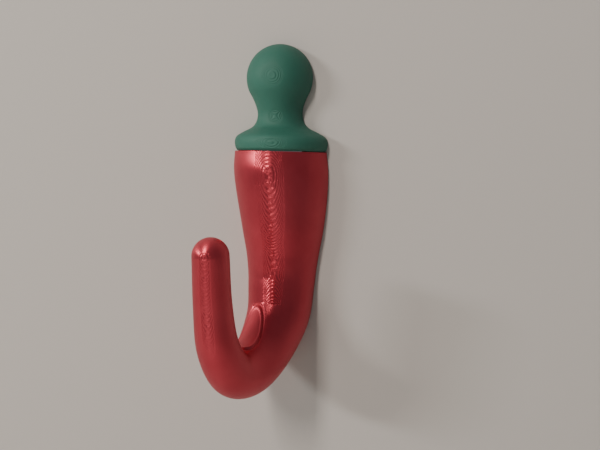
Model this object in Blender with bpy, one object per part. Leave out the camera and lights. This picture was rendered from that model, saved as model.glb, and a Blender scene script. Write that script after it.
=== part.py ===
"""Chilli-pepper wall hook: a red printed pepper whose tail curls up into a hook, and a green stem cap.

World frame: metres, +Z up.  The wall is the plane Y = 0 and the hook stands in front of it, at -Y.
The origin is on the wall, at the middle of the foam strip that holds the pepper.  Every height
below is measured from the joint between the cap and the pepper, and an empty there lifts it all.
"""

from math import cos, pi, radians, sin

import bmesh
import bpy
import numpy as np
from mathutils import Vector

MM = 0.001

# Driving dimensions, in millimetres and degrees.
GAP = 0.3                    # clearance between pieces that touch
JOINT_HEIGHT = 32.0          # the joint between cap and pepper, above the origin
HOOK_TURN = 14.5             # the hook's plane is turned this far to the left of the wall's normal
SIDES = 40                   # points round each section
STEPS = 5                    # rings between two stations

# Pepper stations: distance out along the hook's plane, offset to the right, height,
# half-width, and depth of the section as a share of that half-width.
PEPPER_STATIONS = [
    (-6.4, -1.5, 4.0, 22.3, 1.12),
    (-6.4, -1.5, -1.0, 22.7, 1.12),
    (-6.2, -1.1, -10.0, 23.2, 1.12),
    (-5.5, -0.2, -22.0, 22.1, 1.12),
    (-4.0, 0.8, -36.0, 19.8, 1.11),
    (-2.4, 1.4, -50.0, 17.1, 1.08),
    (-0.3, 1.8, -62.0, 15.7, 1.04),
    (4.5, 2.6, -76.5, 14.6, 1.0),
    (18.0, 3.2, -89.6, 12.6, 1.0),
    (32.6, 3.2, -95.8, 11.2, 1.0),
    (44.9, 2.8, -93.4, 9.8, 1.0),
    (54.4, 2.4, -80.6, 8.9, 1.0),
    (57.9, 1.9, -63.0, 8.0, 1.0),
    (60.7, 2.4, -42.6, 7.6, 1.0),
]
TIP_RINGS = 6                # rings in the round end of the tail

# Cap stations: offset to the right, axis behind the wall plane, height, radius.
CAP_STATIONS = [
    (0.0, 3.7, -2.0, 20.4),
    (0.0, 3.7, 0.0, 21.4),
    (0.0, 3.7, 1.3, 22.2),
    (-0.1, 3.7, 4.2, 22.5),
    (-0.2, 3.6, 6.6, 21.4),
    (-0.4, 3.2, 8.6, 18.0),
    (-0.5, 2.5, 10.6, 14.0),
    (-0.6, 1.5, 13.2, 11.6),
    (-0.7, 0.8, 17.0, 10.7),
    (-0.9, 0.2, 21.0, 11.4),
    (-1.0, 0.0, 25.0, 13.1),
]
BALL_CENTRE = (-1.1, 0.0, 33.2)
BALL_RADIUS = 15.5
BALL_START = -25.0           # latitude on the ball where the neck meets it, in degrees
BALL_RINGS = 9

# Fold of extra skin, laid along the inside of the bend.
FOLD_RINGS = (35, 48)        # the pepper's rings that it runs between
FOLD_SHARE = 0.55            # its half-width, as a share of the pepper's
FOLD_PROUD = 0.5             # how far it stands out of the skin

# Spigot under the cap, which stands in a socket in the pepper's top face.
SPIGOT_WIDE = 12.0
SPIGOT_DEEP = 7.0
SPIGOT_LONG = 6.0
SPIGOT_OUT = 8.5             # its centre, in front of the wall

# Foam tape strips, each in a pocket in the flat back.
TAPE_THICK = 1.0
PEPPER_TAPE = (20.0, 48.0, -JOINT_HEIGHT)    # width, length, height of its centre
CAP_TAPE = (14.0, 24.0, 24.0)
TAPE_CORNER = 2.0

COLLECTION = "chilli_wall_hook"


def start_clean():
    """Remove what the file holds, and make the two collections."""
    for old in list(bpy.data.objects):
        bpy.data.objects.remove(old, do_unlink=True)
    made = []
    for name in (COLLECTION, "cutters"):
        collection = bpy.data.collections.new(name)
        bpy.context.scene.collection.children.link(collection)
        made.append(collection)
    return made


def make_material(name, colour, roughness, metallic=0.0):
    material = bpy.data.materials.new(name)
    material.use_nodes = True
    shader = material.node_tree.nodes["Principled BSDF"]
    shader.inputs["Base Color"].default_value = (*colour, 1.0)
    shader.inputs["Roughness"].default_value = roughness
    shader.inputs["Metallic"].default_value = metallic
    return material


def smooth_path(stations, steps):
    """Catmull-Rom curve through the stations, every value carried along together."""
    points = np.array(stations, dtype=float)
    before = 2 * points[0] - points[1]
    after = 2 * points[-1] - points[-2]
    points = np.vstack([before, points, after])
    rows = []
    for a, b, c, d in zip(points, points[1:], points[2:], points[3:]):
        for t in np.arange(steps) / steps:
            cubic = (3 * b - a - 3 * c + d) * t**3 + (2 * a - 5 * b + 4 * c - d) * t**2
            rows.append(0.5 * (2 * b + (c - a) * t + cubic))
    rows.append(points[-2])
    return np.array(rows)


def hook_point(out, side, height):
    """World point, in mm, of a place given in the hook's own turned plane."""
    turn = radians(HOOK_TURN)
    x = -out * sin(turn) + side * cos(turn)
    y = -out * cos(turn) - side * sin(turn)
    return Vector((x, y, height))


def pepper_axis():
    """Rows along the curling axis: station values, then the heading in the hook's plane."""
    path = smooth_path(PEPPER_STATIONS, STEPS)
    heading = np.gradient(path[:, [0, 2]], axis=0)
    heading /= np.linalg.norm(heading, axis=1)[:, None]
    return np.hstack([path, heading])


def rings_square_to(rows):
    """One ring of points for each row, square to the axis there."""
    rings = []
    for out, side, height, radius, ratio, along_out, along_up in rows:
        ring = []
        for k in range(SIDES):
            angle = 2 * pi * k / SIDES
            depth = radius * ratio * cos(angle)
            ring.append(hook_point(out - along_up * depth, side + radius * sin(angle),
                                   height + along_out * depth))
        rings.append(ring)
    return rings


def pepper_rings():
    """Rings of the pepper, with a round end on the tail."""
    rows = list(pepper_axis())
    out, side, height, radius, ratio, along_out, along_up = rows[-1]
    for step in range(1, TIP_RINGS):
        angle = pi / 2 * step / TIP_RINGS
        reach = radius * sin(angle)
        centre = (out + along_out * reach, side, height + along_up * reach)
        rows.append((*centre, radius * cos(angle), ratio, along_out, along_up))
    pole = hook_point(out + along_out * radius, side, height + along_up * radius)
    return rings_square_to(rows), pole


def fold_rings():
    """Rings of the fold: thinner than the pepper, and moved to the inside of its bend."""
    rows = []
    first, last = FOLD_RINGS
    for index, row in enumerate(pepper_axis()[first:last + 1]):
        out, side, height, radius, ratio, along_out, along_up = row
        share = 2 * index / (last - first) - 1
        width = FOLD_SHARE * radius * (1.02 - share**6) ** 0.5
        shift = (1 - FOLD_SHARE) * radius + FOLD_PROUD - share**6
        rows.append((out - along_up * shift, side, height + along_out * shift,
                     width, ratio, along_out, along_up))
    pole = hook_point(*rows[-1][:3])
    return rings_square_to(rows), pole


def cap_rings():
    """Level rings of the cap, from under the calyx up the neck and over the ball."""
    rows = [tuple(row) for row in smooth_path(CAP_STATIONS, 3)[:-1]]
    x, behind, middle = BALL_CENTRE
    for step in range(BALL_RINGS):
        latitude = radians(BALL_START + (90.0 - BALL_START) * step / BALL_RINGS)
        rows.append((x, behind, middle + BALL_RADIUS * sin(latitude), BALL_RADIUS * cos(latitude)))
    rings = []
    for x, behind, height, radius in rows:
        angles = [2 * pi * k / SIDES for k in range(SIDES)]
        rings.append([Vector((x + radius * cos(a), behind + radius * sin(a), height)) for a in angles])
    return rings, Vector((x, BALL_CENTRE[1], middle + BALL_RADIUS))


def loft(name, rings, pole, collection, material=None):
    """One closed skin over the rings: flat at the first, drawn to the pole after the last."""
    mesh = bpy.data.meshes.new(name)
    shape = bmesh.new()
    rows = [[shape.verts.new(point * MM) for point in ring] for ring in rings]
    for lower, upper in zip(rows, rows[1:]):
        for k in range(len(lower)):
            shape.faces.new((lower[k - 1], lower[k], upper[k], upper[k - 1]))
    shape.faces.new(reversed(rows[0]))
    tip = shape.verts.new(pole * MM)
    for k in range(len(rows[-1])):
        shape.faces.new((rows[-1][k - 1], rows[-1][k], tip))
    bmesh.ops.recalc_face_normals(shape, faces=shape.faces)
    shape.to_mesh(mesh)
    shape.free()
    mesh.shade_smooth()
    mesh.set_sharp_from_angle(angle=radians(40))
    body = bpy.data.objects.new(name, mesh)
    collection.objects.link(body)
    if material:
        mesh.materials.append(material)
    return body


def add_box(name, low, high, collection, material=None):
    """Box between two corners in mm, with its scale applied."""
    shape = bmesh.new()
    bmesh.ops.create_cube(shape, size=1.0)
    size = Vector(high) - Vector(low)
    bmesh.ops.scale(shape, vec=size * MM, verts=shape.verts)
    mesh = bpy.data.meshes.new(name)
    shape.to_mesh(mesh)
    shape.free()
    box = bpy.data.objects.new(name, mesh)
    box.location = (Vector(low) + Vector(high)) / 2 * MM
    collection.objects.link(box)
    if material:
        mesh.materials.append(material)
    return box


def make_guide(body):
    body.hide_render = True
    body.display_type = "WIRE"
    return body


def combine(body, other, operation):
    boolean = body.modifiers.new(f"{operation.lower()} {other.name}", "BOOLEAN")
    boolean.operation = operation
    boolean.object = make_guide(other)
    boolean.solver = "EXACT"


def round_corners(body, radius):
    """Round the four corners of an upright strip, seen from the front."""
    shape = bmesh.new()
    shape.from_mesh(body.data)
    across = [e for e in shape.edges if abs((e.verts[0].co - e.verts[1].co).normalized().y) > 0.9]
    bmesh.ops.bevel(shape, geom=across, offset=radius * MM, segments=4, affect="EDGES")
    shape.to_mesh(body.data)
    shape.free()


def strip_box(name, strip, margin, low_y, high_y, collection, material=None):
    width, height, centre = strip
    low = (-width / 2 - margin, low_y, centre - height / 2 - margin)
    high = (width / 2 + margin, high_y, centre + height / 2 + margin)
    body = add_box(name, low, high, collection, material)
    round_corners(body, TAPE_CORNER + margin)
    return body


def add_tape(name, strip, host, parts, cutters, material):
    """Foam strip on the wall, and the pocket for it in the back of its host."""
    tape = strip_box(name, strip, 0.0, -TAPE_THICK, 0.0, parts, material)
    pocket = strip_box(f"{name}_pocket", strip, GAP, -TAPE_THICK - GAP, 2.0, cutters)
    combine(host, pocket, "DIFFERENCE")
    return tape


def lift_from_joint(*collections):
    """Parent everything to an empty at the joint between the cap and the pepper."""
    joint = bpy.data.objects.new("cap_joint", None)
    joint.location.z = JOINT_HEIGHT * MM
    bpy.context.scene.collection.objects.link(joint)
    for collection in collections:
        for body in collection.objects:
            body.parent = joint


def build():
    parts, cutters = start_clean()
    red = make_material("silk_red_pla", (0.62, 0.045, 0.03), 0.3)
    green = make_material("matte_green_pla", (0.02, 0.14, 0.105), 0.62)
    foam = make_material("white_foam_tape", (0.8, 0.8, 0.78), 0.8)

    pepper = loft("pepper_body", *pepper_rings(), parts, red)
    combine(pepper, loft("skin_fold", *fold_rings(), cutters), "UNION")
    room = add_box("pepper_room", (-60, -90, -130), (60, -GAP, -GAP), cutters)
    combine(pepper, room, "INTERSECT")
    half = SPIGOT_WIDE / 2
    near = -SPIGOT_OUT - SPIGOT_DEEP / 2
    far = -SPIGOT_OUT + SPIGOT_DEEP / 2
    socket_low = (-half - GAP, near - GAP, -SPIGOT_LONG - GAP)
    socket = add_box("spigot_socket", socket_low, (half + GAP, far + GAP, 2.0), cutters)
    combine(pepper, socket, "DIFFERENCE")

    cap = loft("stem_cap", *cap_rings(), parts, green)
    room = add_box("cap_room", (-60, -90, 0.0), (60, -GAP, 70), cutters)
    combine(cap, room, "INTERSECT")
    spigot = add_box("spigot", (-half, near, -SPIGOT_LONG), (half, far, 2.0), cutters)
    combine(cap, spigot, "UNION")

    add_tape("pepper_tape", PEPPER_TAPE, pepper, parts, cutters, foam)
    add_tape("cap_tape", CAP_TAPE, cap, parts, cutters, foam)
    lift_from_joint(parts, cutters)


build()
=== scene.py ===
# %% [markdown]
# # A chilli-pepper wall hook
# The object is a printed plastic hook: a red pepper whose tail curls off the wall and up, and a green
# cap that stands for the stem.  Both were printed lying on their backs, so every layer is parallel to
# the wall.  The frame is loaded first, because every piece takes its place from it.

from math import cos, pi, radians, sin, sqrt

import bmesh
import bpy
import numpy as np
from mathutils import Matrix, Vector


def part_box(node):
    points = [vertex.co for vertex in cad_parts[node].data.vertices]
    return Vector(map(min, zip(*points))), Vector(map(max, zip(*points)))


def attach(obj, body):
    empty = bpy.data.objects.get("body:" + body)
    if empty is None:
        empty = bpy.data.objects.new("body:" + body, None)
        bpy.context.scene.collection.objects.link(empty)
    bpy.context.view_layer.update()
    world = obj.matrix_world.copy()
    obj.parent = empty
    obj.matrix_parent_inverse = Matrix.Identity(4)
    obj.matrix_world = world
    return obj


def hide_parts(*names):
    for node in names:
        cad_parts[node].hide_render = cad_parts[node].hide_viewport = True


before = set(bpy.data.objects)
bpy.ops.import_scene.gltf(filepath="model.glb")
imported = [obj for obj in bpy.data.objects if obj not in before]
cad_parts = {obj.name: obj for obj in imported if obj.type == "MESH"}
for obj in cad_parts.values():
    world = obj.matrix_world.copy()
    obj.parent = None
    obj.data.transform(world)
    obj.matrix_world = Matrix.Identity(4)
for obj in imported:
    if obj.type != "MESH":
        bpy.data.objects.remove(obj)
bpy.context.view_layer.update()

MM = 0.001

# %% [markdown]
# The pepper has no edges to snap to, so its shape is a handful of stations along a curling axis, as a
# boat is drawn from its frames.  Heights are measured from the joint between cap and pepper, which is
# found in the frame: it lies one clearance above the top of the pepper.

# %% Sizes
LAYER = 0.2                  # height of a print layer; lengths here are in mm
GAP = 0.3                    # clearance between the prints, and behind them
JOINT_HEIGHT = round(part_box("pepper_body")[1].z / MM + GAP, 3)     # above the origin
HOOK_TURN = 14.5             # the hook's plane is turned this far to the left of the wall's normal

# Distance out along the hook's plane, offset to the right, height, half-width, depth share.
PEPPER_STATIONS = [
    (-6.4, -1.5, 4.0, 22.3, 1.12),
    (-6.4, -1.5, -1.0, 22.7, 1.12),
    (-6.2, -1.1, -10.0, 23.2, 1.12),
    (-5.5, -0.2, -22.0, 22.1, 1.12),
    (-4.0, 0.8, -36.0, 19.8, 1.11),
    (-2.4, 1.4, -50.0, 17.1, 1.08),
    (-0.3, 1.8, -62.0, 15.7, 1.04),
    (4.5, 2.6, -76.5, 14.6, 1.0),
    (18.0, 3.2, -89.6, 12.6, 1.0),
    (32.6, 3.2, -95.8, 11.2, 1.0),
    (44.9, 2.8, -93.4, 9.8, 1.0),
    (54.4, 2.4, -80.6, 8.9, 1.0),
    (57.9, 1.9, -63.0, 8.0, 1.0),
    (60.7, 2.4, -42.6, 7.6, 1.0),
]
PEPPER_SIDES = 200
PEPPER_STEPS = 20
TIP_RINGS = 16
TIP_SHORT = 0.12             # how much the facets of the frame's round tip fall short of a true sphere

# Offset to the right, axis behind the wall plane, height, radius.
CAP_STATIONS = [
    (0.0, 3.7, -2.0, 20.4),
    (0.0, 3.7, 0.0, 21.4),
    (0.0, 3.7, 1.3, 22.2),
    (-0.1, 3.7, 4.2, 22.5),
    (-0.2, 3.6, 6.6, 21.4),
    (-0.4, 3.2, 8.6, 18.0),
    (-0.5, 2.5, 10.6, 14.0),
    (-0.6, 1.5, 13.2, 11.6),
    (-0.7, 0.8, 17.0, 10.7),
    (-0.9, 0.2, 21.0, 11.4),
    (-1.0, 0.0, 25.0, 13.1),
]
BALL_CENTRE = (-1.1, 0.0, 33.2)
BALL_RADIUS = 15.5
BALL_START = -25.0
CAP_SIDES = 180
CAP_STEPS = 9
BALL_RINGS = 50
INSIDE = 0.04                # both skins are drawn in this much, to stay inside the frame's box


# %% [markdown]
# Colours are written as the hex values a paint chart would give and turned to linear light by one
# function.  A second small function adds a shader node with its settings and its links.

# %% Colour and node helpers
def linear(hex_colour):
    """Linear RGBA of an sRGB hex colour."""
    parts = [int(hex_colour[i:i + 2], 16) / 255 for i in (1, 3, 5)]
    return (*[c / 12.92 if c <= 0.04045 else ((c + 0.055) / 1.055) ** 2.4 for c in parts], 1.0)


def add_node(tree, kind, settings=None, **inputs):
    """A node of that kind; an input is a value, or an output socket to link."""
    node = tree.nodes.new(kind)
    for name, value in (settings or {}).items():
        setattr(node, name, value)
    for name, value in inputs.items():
        socket = node.inputs[int(name[1:])] if name[0] == "i" and name[1:].isdigit() else \
            node.inputs[name.replace("_", " ")]
        if isinstance(value, bpy.types.NodeSocket):
            tree.links.new(value, socket)
        else:
            socket.default_value = value
    return node


# %% [markdown]
# The camera looks from a little to the right of straight on, level with the joint and tipped down, so
# that the bend of the tail is seen from above.  It is a normal lens: the hook fills most of the height.

# %% Camera
SENSOR = 36.0
FOCAL = 45.0                 # a normal lens for that sensor
STAND_OFF = 350.0            # camera to joint
YAW = 14.0                   # to the right of the wall's normal
PITCH = 5.0                  # looking down
ROLL = 1.4
SIGHT = (-1.14, 4.44)        # where the joint falls on the sensor, from its middle


def add_camera():
    turn = radians(YAW) - np.arctan(-SIGHT[0] / FOCAL)
    dip = radians(PITCH)
    forward = Vector((-sin(turn) * cos(dip), cos(turn) * cos(dip), -sin(dip)))
    level = Vector((cos(turn), sin(turn), 0.0))
    upright = level.cross(forward)
    right = level * cos(radians(ROLL)) + upright * sin(radians(ROLL))
    up = upright * cos(radians(ROLL)) - level * sin(radians(ROLL))
    line = (forward * FOCAL + right * SIGHT[0] + up * SIGHT[1]).normalized()
    place = Vector((0.0, 0.0, JOINT_HEIGHT)) - line * STAND_OFF
    lens = bpy.data.cameras.new("camera")
    lens.sensor_width = SENSOR
    lens.lens = FOCAL
    lens.clip_start = 0.01
    camera = bpy.data.objects.new("camera", lens)
    bpy.context.scene.collection.objects.link(camera)
    basis = Matrix((right, up, -forward)).transposed().to_4x4()
    camera.matrix_world = Matrix.Translation(place * MM) @ basis
    bpy.context.scene.camera = camera
    return camera


camera = add_camera()
print("camera at", [round(v, 4) for v in camera.location])


# %% [markdown]
# A smooth curve through the stations carries all their values along together.  Each row of it becomes
# a ring of points square to the axis, and the rings are skinned into one closed shape.

# %% Rings and skin
def smooth_path(stations, steps):
    """Catmull-Rom curve through the stations, every value carried along together."""
    points = np.array(stations, dtype=float)
    points = np.vstack([2 * points[0] - points[1], points, 2 * points[-1] - points[-2]])
    rows = []
    for a, b, c, d in zip(points, points[1:], points[2:], points[3:]):
        for t in np.arange(steps) / steps:
            cubic = (3 * b - a - 3 * c + d) * t**3 + (2 * a - 5 * b + 4 * c - d) * t**2
            rows.append(0.5 * (2 * b + (c - a) * t + cubic))
    rows.append(points[-2])
    return np.array(rows)


def hook_point(out, side, height):
    """World point, in mm, of a place given in the hook's own turned plane."""
    turn = radians(HOOK_TURN)
    return np.stack([-out * sin(turn) + side * cos(turn),
                     -out * cos(turn) - side * sin(turn),
                     height + JOINT_HEIGHT + 0 * out], axis=-1)


def skin(rings, pole):
    """bmesh over the rings, flat at the first and drawn to the pole after the last."""
    shape = bmesh.new()
    rows = [[shape.verts.new(point) for point in ring] for ring in rings]
    for lower, upper in zip(rows, rows[1:]):
        for k in range(len(lower)):
            shape.faces.new((lower[k - 1], lower[k], upper[k], upper[k - 1]))
    shape.faces.new(reversed(rows[0]))
    tip = shape.verts.new(pole)
    for k in range(len(rows[-1])):
        shape.faces.new((rows[-1][k - 1], rows[-1][k], tip))
    bmesh.ops.recalc_face_normals(shape, faces=shape.faces)
    return shape


def trim(shape, point, normal):
    """Cut away what lies beyond the plane, and close the cut with a flat face."""
    cut = bmesh.ops.bisect_plane(shape, geom=shape.verts[:] + shape.edges[:] + shape.faces[:],
                                 dist=1e-4, plane_co=point, plane_no=normal, clear_outer=True)
    rim = [e for e in cut["geom_cut"] if isinstance(e, bmesh.types.BMEdge)]
    bmesh.ops.edgeloop_fill(shape, edges=rim)


def pepper_rows():
    rows = smooth_path(PEPPER_STATIONS, PEPPER_STEPS)
    heading = np.gradient(rows[:, [0, 2]], axis=0)
    heading /= np.linalg.norm(heading, axis=1)[:, None]
    return np.hstack([rows, heading])


def pepper_skin():
    rows = list(pepper_rows())
    out, side, height, radius, ratio, along_out, along_up = rows[-1]
    for step in range(1, TIP_RINGS):
        angle = pi / 2 * step / TIP_RINGS
        reach = (radius - TIP_SHORT) * sin(angle)
        rows.append((out + along_out * reach, side, height + along_up * reach,
                     radius * cos(angle), ratio, along_out, along_up))
    reach = radius - TIP_SHORT
    pole = hook_point(out + along_out * reach, side, height + along_up * reach)
    angle = 2 * pi * np.arange(PEPPER_SIDES) / PEPPER_SIDES
    rings = []
    for out, side, height, radius, ratio, along_out, along_up in rows:
        depth = (radius - INSIDE) * ratio * np.cos(angle)
        rings.append(hook_point(out - along_up * depth, side + (radius - INSIDE) * np.sin(angle),
                                height + along_out * depth))
    return skin(rings, pole)


def cap_skin():
    rows = [tuple(row) for row in smooth_path(CAP_STATIONS, CAP_STEPS)[:-1]]
    x, behind, middle = BALL_CENTRE
    for step in range(BALL_RINGS):
        latitude = radians(BALL_START + (90.0 - BALL_START) * step / BALL_RINGS)
        rows.append((x, behind, middle + BALL_RADIUS * sin(latitude), BALL_RADIUS * cos(latitude)))
    angle = 2 * pi * np.arange(CAP_SIDES) / CAP_SIDES
    rings = []
    for x, behind, height, radius in rows:
        radius -= INSIDE
        rings.append(np.stack([x + radius * np.cos(angle), behind + radius * np.sin(angle),
                               height + JOINT_HEIGHT + 0 * angle], axis=-1))
    pole = (BALL_CENTRE[0], behind, middle + BALL_RADIUS + JOINT_HEIGHT - INSIDE)
    rings[-1][:, 2] = np.minimum(rings[-1][:, 2], pole[2])     # no ring above the pole
    return skin(rings, pole)


# %% [markdown]
# Where the surface lies nearly parallel to the wall, a print shows its layers as contour lines, like
# the grain of planed wood.  Those faces are cut finer, and a Geometry Nodes tree then sinks the points
# of each layer a little toward the wall.  Elsewhere the steps are finer than the eye can tell.

# %% Finer faces where the grain shows
GRAIN_FACING = cos(radians(19.0))     # faces flatter to the wall than this show their layers
GRAIN_MARGIN = 0.01                   # finer faces start this much (cosine) before the grain does
GRAIN_FADE = 0.012                    # and the grain comes in fully over this much
BACK_DEPTH = -2.0                     # faces nearer the wall than this show no layers


def refine(shape, chosen, cuts):
    edges = {edge for face in chosen for edge in face.edges}
    bmesh.ops.subdivide_edges(shape, edges=list(edges), cuts=cuts, use_grid_fill=True)


def facing_wall_front(shape, limit):
    shape.normal_update()
    return [f for f in shape.faces if -f.normal.y > limit and f.calc_center_median().y < BACK_DEPTH]


def to_object(shape, name):
    mesh = bpy.data.meshes.new(name)
    bmesh.ops.scale(shape, vec=(MM, MM, MM), verts=shape.verts)
    shape.to_mesh(mesh)
    shape.free()
    piece = bpy.data.objects.new(name, mesh)
    bpy.context.scene.collection.objects.link(piece)
    return piece


# %% [markdown]
# Inside the bend the skin has a fold shaped like a fingernail, where the tail was drawn out of the
# pepper.  Its outline is an ellipse in the skin's own coordinates: distance along the axis, counted in
# stations, and distance round it.  Every point is given its share of that ellipse before the faces are
# cut finer, so the new points get theirs too, and only then is the fold raised.

# %% The fold
FOLD_MIDDLE = 8.22           # along the axis, in stations
FOLD_LENGTH = 1.05
FOLD_ASIDE = -2.3            # to the left of the hook's plane, in mm
FOLD_DRIFT = 1.6             # mm to the right for each station down
FOLD_WIDTH = 5.0
FOLD_PROUD = 0.42
RIM_PROUD = 0.22
GROOVE_DEEP = 0.4
FOLD_REACH = 1.6             # the fold's relief ends here, counted in shares of its outline
FOLD_EDGE = 1.5              # faces nearer than this are cut finer for the fold, not for the grain
FAR_FROM_FOLD = 9.0


def mark_fold(shape):
    """Float layer: 0 at the fold's middle, 1 on its outline."""
    layer = shape.verts.layers.float.new("fold")
    rows = pepper_rows()
    centres = hook_point(rows[:, 0], rows[:, 1], rows[:, 2])
    turn = radians(HOOK_TURN)
    across = np.array([cos(turn), -sin(turn), 0.0])
    for vert in shape.verts:
        offset = np.array(vert.co) - centres
        near = int(np.argmin((offset**2).sum(axis=1)))
        along_out, along_up = rows[near, 5], rows[near, 6]
        inward = np.array([along_up * sin(turn), along_up * cos(turn), along_out])
        if offset[near] @ inward <= 0:
            vert[layer] = FAR_FROM_FOLD
            continue
        station = near / PEPPER_STEPS
        middle = FOLD_ASIDE + FOLD_DRIFT * (station - FOLD_MIDDLE)
        lengthwise = (station - FOLD_MIDDLE) / FOLD_LENGTH
        sideways = (offset[near] @ across - middle) / FOLD_WIDTH
        vert[layer] = min(sqrt(lengthwise**2 + sideways**2), FAR_FROM_FOLD)
    return layer


def bell(x, centre, width):
    return np.exp(-((x - centre) / width) ** 2)


def raise_fold(shape, layer):
    shape.normal_update()
    moves = []
    for vert in shape.verts:
        share = vert[layer]
        if share < FOLD_REACH:
            rise = FOLD_PROUD * (0.5 - 0.5 * np.tanh((share - 1.0) / 0.05))
            rise += RIM_PROUD * bell(share, 0.95, 0.06) - GROOVE_DEEP * bell(share, 1.1, 0.07)
            moves.append((vert, vert.normal * float(rise)))
    for vert, move in moves:
        vert.co += move


# %% [markdown]
# The grain is a rule, so it is a node tree: the depth of a point in front of the wall is divided into
# layers, and the point sinks toward the step it has not quite filled.  Relief deepens the steps past
# their true size, so that they can be seen.  A little noise keeps the contours from being too clean.

# %% Print-layer tree
def print_layers_tree():
    tree = bpy.data.node_groups.new("print_layers", "GeometryNodeTree")
    face = tree.interface
    face.new_socket("Geometry", in_out="INPUT", socket_type="NodeSocketGeometry")
    for name, value in (("Layer Height", LAYER * MM), ("Facing", GRAIN_FACING),
                        ("Wobble", 0.12 * MM), ("Riser", 0.5), ("Relief", 1.6)):
        face.new_socket(name, in_out="INPUT", socket_type="NodeSocketFloat").default_value = value
    face.new_socket("Material", in_out="INPUT", socket_type="NodeSocketMaterial")
    face.new_socket("Geometry", in_out="OUTPUT", socket_type="NodeSocketGeometry")
    given = tree.nodes.new("NodeGroupInput").outputs
    math = "ShaderNodeMath"
    place = add_node(tree, "GeometryNodeInputPosition").outputs[0]
    depth = add_node(tree, "ShaderNodeSeparateXYZ", Vector=place).outputs["Y"]
    noise = add_node(tree, "ShaderNodeTexNoise", Vector=place, Scale=420.0, Detail=2.0).outputs[0]
    centred = add_node(tree, math, {"operation": "SUBTRACT"}, i0=noise, i1=0.5).outputs[0]
    wobble = add_node(tree, math, {"operation": "MULTIPLY"}, i0=centred, i1=given["Wobble"]).outputs[0]
    front = add_node(tree, math, {"operation": "SUBTRACT"}, i0=wobble, i1=depth).outputs[0]
    layers = add_node(tree, math, {"operation": "DIVIDE"}, i0=front, i1=given["Layer Height"]).outputs[0]
    part = add_node(tree, math, {"operation": "FRACT"}, i0=layers).outputs[0]
    step = add_node(tree, "ShaderNodeMapRange", {"interpolation_type": "SMOOTHSTEP"},
                    Value=part, i1=given["Riser"], i2=1.0).outputs[0]
    short = add_node(tree, math, {"operation": "SUBTRACT"}, i0=part, i1=step).outputs[0]
    high = add_node(tree, math, {"operation": "MULTIPLY"},
                    i0=given["Relief"], i1=given["Layer Height"]).outputs[0]
    drop = add_node(tree, math, {"operation": "MULTIPLY"}, i0=short, i1=high).outputs[0]
    normal = add_node(tree, "GeometryNodeInputNormal").outputs[0]
    facing = add_node(tree, "ShaderNodeSeparateXYZ", Vector=normal).outputs["Y"]
    toward = add_node(tree, math, {"operation": "MULTIPLY"}, i0=facing, i1=-1.0).outputs[0]
    full = add_node(tree, math, {"operation": "ADD"}, i0=given["Facing"], i1=GRAIN_FADE).outputs[0]
    weight = add_node(tree, "ShaderNodeMapRange", {"interpolation_type": "SMOOTHSTEP"},
                      Value=toward, i1=given["Facing"], i2=full).outputs[0]
    move = add_node(tree, math, {"operation": "MULTIPLY"}, i0=drop, i1=weight).outputs[0]
    offset = add_node(tree, "ShaderNodeCombineXYZ", Y=move).outputs[0]
    moved = add_node(tree, "GeometryNodeSetPosition", Geometry=given["Geometry"], Offset=offset).outputs[0]
    real = add_node(tree, "GeometryNodeRealizeInstances", Geometry=moved).outputs[0]
    finished = add_node(tree, "GeometryNodeSetMaterial", Geometry=real, Material=given["Material"])
    exit_node = tree.nodes.new("NodeGroupOutput")
    tree.links.new(finished.outputs[0], exit_node.inputs[0])
    return tree


def print_in_layers(piece, material, tree):
    """Run the tree on the piece and keep the result as its plain mesh."""
    modifier = piece.modifiers.new("print layers", "NODES")
    modifier.node_group = tree
    sockets = {s.name: s.identifier for s in tree.interface.items_tree if s.in_out == "INPUT"}
    modifier[sockets["Material"]] = material
    bpy.context.view_layer.update()
    result = piece.evaluated_get(bpy.context.evaluated_depsgraph_get())
    mesh = bpy.data.meshes.new_from_object(result)
    piece.modifiers.clear()
    piece.data = mesh
    mesh.shade_smooth()
    mesh.set_sharp_from_angle(angle=radians(50))
    return piece


# %% [markdown]
# Silk PLA is a plastic with a pearly filler: it shines in its own colour, brightest where it faces the
# light, and goes dark maroon where it turns away.  Mostly metallic with a soft roughness gives that.
# The layers lie parallel to the wall, and their tiny ridges stretch each highlight across them, which
# is along Y: that is the tangent given to the shader.

# %% Red silk
def layer_height(tree, place, pitch):
    """Height of the bead ridges, one for each print layer, from the depth in front of the wall."""
    math = "ShaderNodeMath"
    depth = add_node(tree, "ShaderNodeSeparateXYZ", Vector=place).outputs["Y"]
    turns = add_node(tree, math, {"operation": "MULTIPLY"}, i0=depth, i1=2 * pi / (pitch * MM)).outputs[0]
    return add_node(tree, math, {"operation": "SINE"}, i0=turns).outputs[0]


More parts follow.
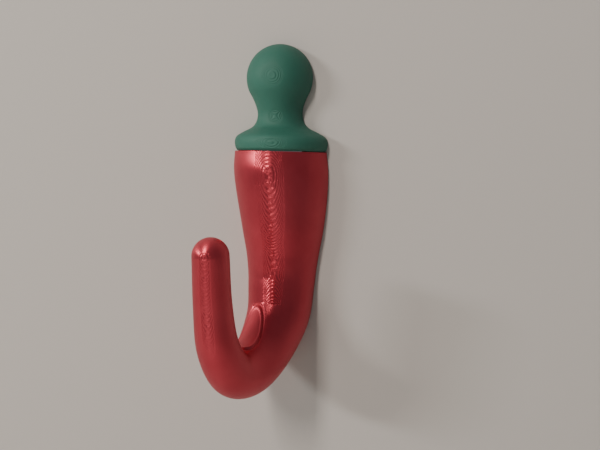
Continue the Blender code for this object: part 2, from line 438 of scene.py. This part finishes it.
def printed_plastic(name, dark, light, shader_values, bead, mottle):
    """Printed plastic: a drifting colour, speckled roughness and ridged layers.

    The bead is the strength of the ridges, and the mottle how far the roughness strays."""
    material = bpy.data.materials.new(name)
    material.use_nodes = True
    tree = material.node_tree
    shader = tree.nodes["Principled BSDF"]
    for key, value in shader_values.items():
        shader.inputs[key].default_value = value
    place = add_node(tree, "ShaderNodeTexCoord").outputs["Object"]
    drift = add_node(tree, "ShaderNodeTexNoise", Vector=place, Scale=60.0, Detail=3.0).outputs[0]
    blend = add_node(tree, "ShaderNodeMapRange", Value=drift, i1=0.3, i2=0.7).outputs[0]
    mix = add_node(tree, "ShaderNodeMix", {"data_type": "RGBA"}, i0=blend,
                   i6=linear(dark), i7=linear(light))
    tree.links.new(mix.outputs[2], shader.inputs["Base Color"])
    speckle = add_node(tree, "ShaderNodeTexNoise", Vector=place, Scale=900.0, Detail=2.0).outputs[0]
    rough = shader_values["Roughness"]
    spread = add_node(tree, "ShaderNodeMapRange", Value=speckle, i3=rough - mottle, i4=rough + mottle)
    tree.links.new(spread.outputs[0], shader.inputs["Roughness"])
    ridges = layer_height(tree, place, LAYER)
    bump = add_node(tree, "ShaderNodeBump", Strength=bead, Distance=0.02 * MM, Height=ridges)
    tree.links.new(bump.outputs[0], shader.inputs["Normal"])
    if shader_values.get("Anisotropic"):
        across = add_node(tree, "ShaderNodeCombineXYZ", Y=1.0).outputs[0]
        tree.links.new(across, shader.inputs["Tangent"])
    return material


red_silk = printed_plastic("red_silk_pla", "#bc3f4c", "#c84955",
                           {"Roughness": 0.36, "Metallic": 0.78, "IOR": 1.46,
                            "Anisotropic": 0.75}, 0.3, 0.04)

# %% [markdown]
# The cap is matte PLA: the same layers, with no pearl in it, so it only takes a dull broad shine.

# %% Matte green and foam
green_matte = printed_plastic("matte_green_pla", "#30695a", "#367162",
                              {"Roughness": 0.6, "Metallic": 0.0, "IOR": 1.46,
                               "Specular IOR Level": 0.45}, 0.6, 0.06)


def foam_material():
    material = bpy.data.materials.new("white_pe_foam_tape")
    material.use_nodes = True
    tree = material.node_tree
    shader = tree.nodes["Principled BSDF"]
    shader.inputs["Roughness"].default_value = 0.85
    place = add_node(tree, "ShaderNodeTexCoord").outputs["Object"]
    cells = add_node(tree, "ShaderNodeTexVoronoi", Vector=place, Scale=2500.0).outputs["Distance"]
    blend = add_node(tree, "ShaderNodeMix", {"data_type": "RGBA"}, i0=cells,
                     i6=linear("#e6e5df"), i7=linear("#d2d0c8"))
    tree.links.new(blend.outputs[2], shader.inputs["Base Color"])
    bump = add_node(tree, "ShaderNodeBump", Strength=0.5, Distance=0.05 * MM, Height=cells)
    tree.links.new(bump.outputs[0], shader.inputs["Normal"])
    return material


foam = foam_material()

# %% [markdown]
# The pepper is skinned, trimmed flat at the joint and at the wall, given its fold, and cut finer where
# the grain will show.  The frame's own solid stays in place for collision and is hidden.

# %% Pepper
layers_tree = print_layers_tree()


def build_pepper():
    shape = pepper_skin()
    trim(shape, (0, 0, JOINT_HEIGHT - GAP - INSIDE), (0, 0, 1))
    trim(shape, (0, -GAP - INSIDE, 0), (0, 1, 0))
    layer = mark_fold(shape)
    near_fold = [f for f in shape.faces
                 if max(v[layer] for v in f.verts) < FOLD_EDGE and len(f.verts) < 5]
    refine(shape, near_fold, 2)
    raise_fold(shape, layer)
    grain = [f for f in facing_wall_front(shape, GRAIN_FACING - GRAIN_MARGIN)
             if len(f.verts) < 5 and f.verts[0][layer] > FOLD_EDGE]
    refine(shape, grain, 2)
    return to_object(shape, "pepper_skin")


pepper = print_in_layers(build_pepper(), red_silk, layers_tree)
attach(pepper, "root")
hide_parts("pepper_body")
print("pepper faces", len(pepper.data.polygons))

# %% Cap
def build_cap():
    shape = cap_skin()
    trim(shape, (0, 0, JOINT_HEIGHT), (0, 0, -1))
    trim(shape, (0, -GAP - INSIDE, 0), (0, 1, 0))
    grain = [f for f in facing_wall_front(shape, GRAIN_FACING - GRAIN_MARGIN) if len(f.verts) < 5]
    refine(shape, grain, 2)
    return to_object(shape, "cap_skin")


cap = print_in_layers(build_cap(), green_matte, layers_tree)
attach(cap, "root")
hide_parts("stem_cap")
print("cap faces", len(cap.data.polygons))

# %% Foam strips
for name in ("pepper_tape", "cap_tape"):
    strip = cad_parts[name]
    strip.data.materials.clear()
    strip.data.materials.append(foam)

# %% [markdown]
# The hook hangs on a painted wall.  The wall is seen from the room only: from behind it lets the eye
# through, so the back of the hook can be looked at.  It is left open behind the middle of the hook,
# where nothing shows from the front, so that some light reaches the flat back.  A pale floor lies
# well below.

# %% Wall and floor
def add_plane(name, corners, material, opening=()):
    """A four-cornered plane, with a four-cornered opening in it if one is given."""
    faces = [(0, 1, 2, 3)]
    if opening:
        faces = [(k, (k + 1) % 4, (k + 1) % 4 + 4, k + 4) for k in range(4)]
    mesh = bpy.data.meshes.new(name)
    mesh.from_pydata([Vector(c) for c in (*corners, *opening)], [], faces)
    mesh.materials.append(material)
    plane = bpy.data.objects.new(name, mesh)
    bpy.context.scene.collection.objects.link(plane)
    return plane


def paint_material(name, colour, one_sided):
    material = bpy.data.materials.new(name)
    material.use_nodes = True
    tree = material.node_tree
    shader = tree.nodes["Principled BSDF"]
    shader.inputs["Roughness"].default_value = 0.8
    shader.inputs["Base Color"].default_value = linear(colour)
    place = add_node(tree, "ShaderNodeTexCoord").outputs["Object"]
    roller = add_node(tree, "ShaderNodeTexNoise", Vector=place, Scale=700.0, Detail=4.0).outputs[0]
    bump = add_node(tree, "ShaderNodeBump", Strength=0.25, Distance=0.1 * MM, Height=roller)
    tree.links.new(bump.outputs[0], shader.inputs["Normal"])
    if one_sided:
        behind = add_node(tree, "ShaderNodeNewGeometry").outputs["Backfacing"]
        clear = add_node(tree, "ShaderNodeBsdfTransparent").outputs[0]
        either = add_node(tree, "ShaderNodeMixShader", i0=behind, i1=shader.outputs[0], i2=clear)
        tree.links.new(either.outputs[0], tree.nodes["Material Output"].inputs["Surface"])
    return material


WALL_REACH = 1.5
WALL_Y = 0.0001              # just behind the wall face of the tapes, so that the two do not meet
FLOOR_DROP = 0.35
wall_paint = paint_material("painted_wall", "#c9c5c0", True)
add_plane("wall", [(-WALL_REACH, WALL_Y, -FLOOR_DROP), (WALL_REACH, WALL_Y, -FLOOR_DROP),
                   (WALL_REACH, WALL_Y, WALL_REACH), (-WALL_REACH, WALL_Y, WALL_REACH)], wall_paint,
          [(-0.011, WALL_Y, -0.036), (0.013, WALL_Y, -0.036),
           (0.008, WALL_Y, 0.073), (-0.010, WALL_Y, 0.073)])
floor_paint = paint_material("pale_floor", "#d6d4d0", False)
add_plane("floor", [(-WALL_REACH, -WALL_REACH, -FLOOR_DROP), (WALL_REACH, -WALL_REACH, -FLOOR_DROP),
                    (WALL_REACH, WALL_REACH, -FLOOR_DROP), (-WALL_REACH, WALL_REACH, -FLOOR_DROP)],
          floor_paint)

# %% [markdown]
# The key light is a window far to the left and a little above, which throws the hook's shadow along
# the wall to its right.  A tall light in front, high and a little to the left, draws the streak down
# the ridge and fills.  The room gives a soft grey from all round.

# %% Lights
def add_light(name, direction, distance, size, power, colour, aim=(0.0, -0.02, 0.0)):
    data = bpy.data.lights.new(name, "AREA")
    data.shape = "RECTANGLE"
    data.size, data.size_y = size
    data.energy = power
    data.color = linear(colour)[:3]
    light = bpy.data.objects.new(name, data)
    toward = Vector(direction).normalized()
    light.location = Vector(aim) + toward * distance
    light.rotation_euler = toward.to_track_quat("Z", "Y").to_euler()
    bpy.context.scene.collection.objects.link(light)
    return light


add_light("window", (-0.80, -0.56, 0.24), 2.6, (0.62, 0.2), 27.0, "#fffaf4")
add_light("ceiling", (-0.34, -0.75, 0.5), 1.4, (0.14, 0.6), 11.0, "#fff4ea")

world = bpy.data.worlds.new("room")
bpy.context.scene.world = world
world.use_nodes = True
world.node_tree.nodes["Background"].inputs["Color"].default_value = linear("#c9cbcf")
world.node_tree.nodes["Background"].inputs["Strength"].default_value = 0.22
